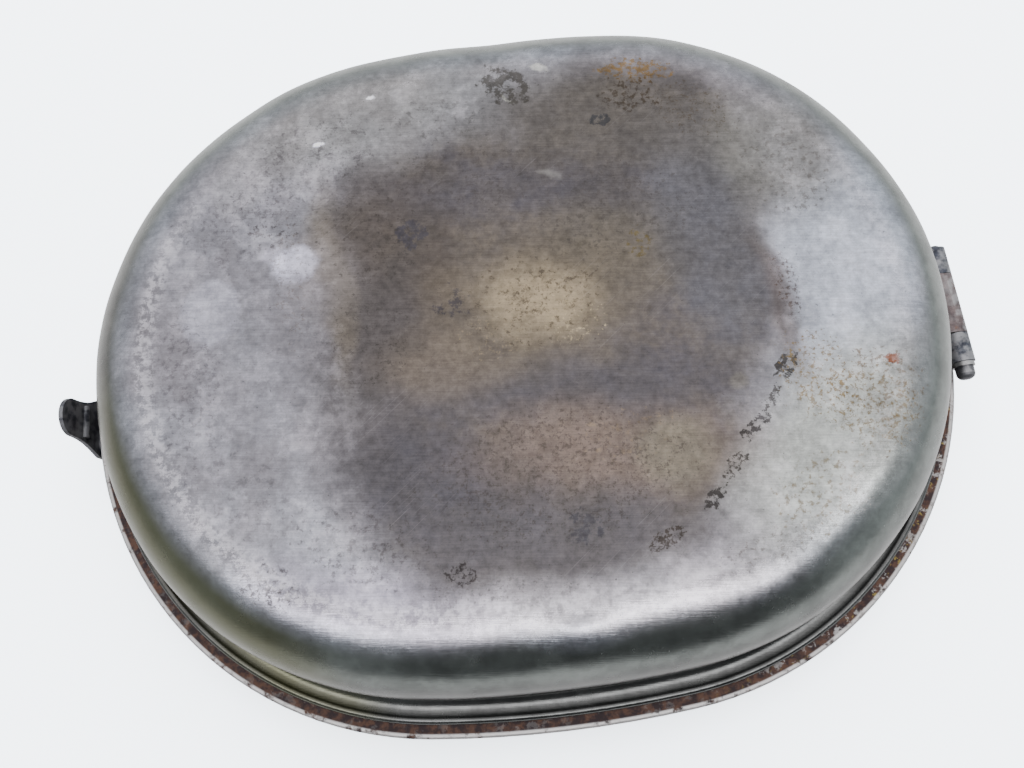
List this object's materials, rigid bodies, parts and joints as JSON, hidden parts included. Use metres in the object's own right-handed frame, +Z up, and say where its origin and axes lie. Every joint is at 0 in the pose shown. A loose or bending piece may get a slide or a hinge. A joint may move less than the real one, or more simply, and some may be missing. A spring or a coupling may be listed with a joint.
{
  "type": "mess tin",
  "caption": "Oval two-piece steel mess tin: a deep pan with a folding strap handle and latch tongue, over a divided lid with a carrying ring.",
  "frame": {"origin": "on the surface that the closed tin stands on, under the middle of its bounding box", "axes": "+X along the long axis towards the handle's hinge, +Z up, out of the pan's base; the latch tongue is at -X"},
  "size_m": [0.2204, 0.1746, 0.0525],
  "materials": {
    "pan_steel": "worn satin steel with heat tint and rust specks",
    "lid_steel": "worn satin steel, rusty at the flange",
    "rim_wire": "plain drawn wire",
    "bracket_steel": "dull steel with light rust",
    "handle_steel": "dark blued steel",
    "latch_steel": "near-black blued steel",
    "rivet_steel": "dull steel rivet heads",
    "pin_steel": "dark steel pin",
    "washer_steel": "bright steel washer",
    "ring_steel": "dull steel wire"
  },
  "bodies": {
    "pan": {"pan_shell": "pan_steel", "pan_rim_wire": "rim_wire", "hinge_bracket": "bracket_steel", "hinge_rivets": "rivet_steel", "hinge_pin": "pin_steel", "hinge_washer": "washer_steel"},
    "handle": {"handle_strap": "handle_steel", "latch_tongue": "latch_steel", "latch_rivets": "rivet_steel"},
    "lid": {"lid_plate": "lid_steel", "ring_clip": "bracket_steel", "ring_clip_rivets": "rivet_steel"},
    "ring": {"carrying_ring": "ring_steel"}
  },
  "joints": [
    {"name": "handle_swing", "type": "hinge", "parent": "pan", "child": "handle", "pos_m": [0.10737, 0, 0.0236], "axis": [0, -1, 0], "range_deg": [0, 180]},
    {"name": "lid_lift", "type": "slide", "parent": "pan", "child": "lid", "axis": [0, 0, -1], "range_m": [0, 0.045]},
    {"name": "ring_swing", "type": "hinge", "parent": "lid", "child": "ring", "pos_m": [-0.0748, 0, 0.01229], "axis": [0, 1, 0], "range_deg": [0, 145]}
  ],
  "couplings": [
    {"joint": "lid_lift", "follows": "handle_swing", "m_per_rad": 0.0143},
    {"joint": "ring_swing", "follows": "handle_swing", "ratio": 0.8}
  ]
}
